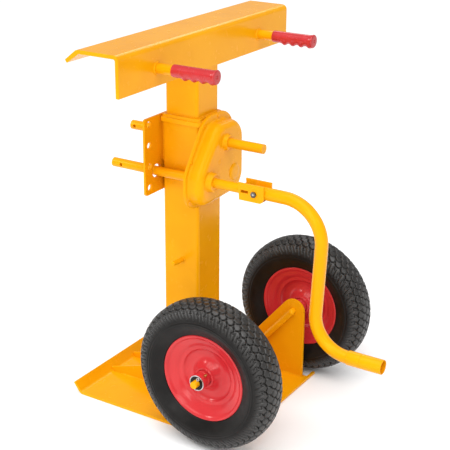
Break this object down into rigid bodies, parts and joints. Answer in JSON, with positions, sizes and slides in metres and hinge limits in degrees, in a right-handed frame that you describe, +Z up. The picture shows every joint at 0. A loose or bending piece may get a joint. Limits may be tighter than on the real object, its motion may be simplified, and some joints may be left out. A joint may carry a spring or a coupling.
{
  "type": "trailer stabilising jack",
  "caption": "Wheeled trailer stabilising jack: square screw leg on a floor plate, top beam with two grips, gearbox and folding crank.",
  "frame": {"origin": "on the floor, on the axis of the square leg", "axes": "+X toward the operator's side (grips and crank), +Y along the top beam and the wheels' axis, +Z up"},
  "size_m": [0.8875, 0.78, 1.048],
  "materials": {
    "frame_yellow": "glossy powder coat",
    "rim_red": "gloss paint",
    "grip_red": "soft moulded grip",
    "tyre_black": "matt rubber",
    "plated_steel": "zinc plated",
    "bare_steel": "oiled bare steel",
    "brass": "turned"
  },
  "bodies": {
    "base": {"base_plate": "frame_yellow", "bracket_near": "frame_yellow", "bracket_far": "frame_yellow", "gusset_near": "frame_yellow", "gusset_far": "frame_yellow", "inner_leg": "frame_yellow", "lift_nut": "brass", "spindle_near": "frame_yellow", "spindle_far": "frame_yellow", "axle_washers": "plated_steel", "cotter_pins": "plated_steel"},
    "column": {"outer_tube": "frame_yellow", "top_collar": "frame_yellow", "riser_tube": "frame_yellow", "beam": "frame_yellow", "handle_bar_near": "frame_yellow", "handle_bar_far": "frame_yellow", "grip_near": "grip_red", "grip_far": "grip_red", "mounting_plate": "frame_yellow", "gearbox_case": "frame_yellow", "gearbox_cover": "frame_yellow", "cover_bolts": "frame_yellow", "output_bushings": "frame_yellow", "input_bushing": "frame_yellow", "idler_stud": "frame_yellow", "thrust_plate": "bare_steel", "thrust_bearing": "bare_steel", "stow_peg": "frame_yellow"},
    "drive_sleeve": {"drive_sleeve": "frame_yellow"},
    "input_shaft": {"input_shaft": "frame_yellow", "input_gear": "bare_steel", "clevis": "frame_yellow", "clevis_bolt": "plated_steel", "clevis_nut": "plated_steel"},
    "crank": {"crank_tube": "frame_yellow"},
    "crank_sleeve": {"crank_sleeve": "frame_yellow"},
    "idler": {"idler_gear": "bare_steel"},
    "output_shaft": {"output_shaft": "frame_yellow", "output_gear": "bare_steel", "bevel_pinion": "bare_steel"},
    "lift_screw": {"lift_screw": "bare_steel", "bevel_gear": "bare_steel"},
    "wheel_near": {"tyre_near": "tyre_black", "rim_outer_near": "rim_red", "rim_inner_near": "rim_red", "hub_near": "rim_red", "bearings_near": "bare_steel", "grease_near": "brass"},
    "wheel_far": {"tyre_far": "tyre_black", "rim_outer_far": "rim_red", "rim_inner_far": "rim_red", "hub_far": "rim_red", "bearings_far": "bare_steel", "grease_far": "brass"}
  },
  "joints": [
    {"name": "lift", "type": "slide", "parent": "base", "child": "column", "axis": [0, 0, 1], "range_m": [-0.048, 0.24]},
    {"name": "crank_turn", "type": "hinge", "parent": "column", "child": "drive_sleeve", "pos_m": [0, -0.077, 0.668], "axis": [-1, 0, 0], "range_deg": [-1440, 7200]},
    {"name": "gear_shift", "type": "slide", "parent": "drive_sleeve", "child": "input_shaft", "axis": [1, 0, 0], "range_m": [0, 0.016]},
    {"name": "crank_fold", "type": "hinge", "parent": "input_shaft", "child": "crank", "pos_m": [0.25, -0.077, 0.668], "axis": [0, -1, 0], "range_deg": [0, 95]},
    {"name": "crank_grip_spin", "type": "hinge", "parent": "crank", "child": "crank_sleeve", "pos_m": [0.568, -0.077, 0.28], "axis": [1, 0, 0], "continuous": true},
    {"name": "idler_turn", "type": "hinge", "parent": "column", "child": "idler", "pos_m": [0.076, -0.03133, 0.70919], "axis": [-1, 0, 0], "range_deg": [-7200, 1440]},
    {"name": "output_turn", "type": "hinge", "parent": "column", "child": "output_shaft", "pos_m": [0, 0, 0.755], "axis": [-1, 0, 0], "range_deg": [-1800, 9000]},
    {"name": "screw_turn", "type": "hinge", "parent": "column", "child": "lift_screw", "pos_m": [0, 0, 0.5], "axis": [0, 0, 1], "range_deg": [-1440, 7200]},
    {"name": "wheel_near_spin", "type": "hinge", "parent": "base", "child": "wheel_near", "pos_m": [0.204, -0.228, 0.211], "axis": [0, 1, 0], "continuous": true},
    {"name": "wheel_far_spin", "type": "hinge", "parent": "base", "child": "wheel_far", "pos_m": [0.204, 0.284, 0.211], "axis": [0, 1, 0], "continuous": true}
  ],
  "couplings": [
    {"joint": "idler_turn", "follows": "crank_turn", "ratio": -0.95238},
    {"joint": "output_turn", "follows": "crank_turn", "ratio": 1.25},
    {"joint": "screw_turn", "follows": "crank_turn", "ratio": 1},
    {"joint": "lift", "follows": "crank_turn", "m_per_rad": 0.0019099}
  ]
}
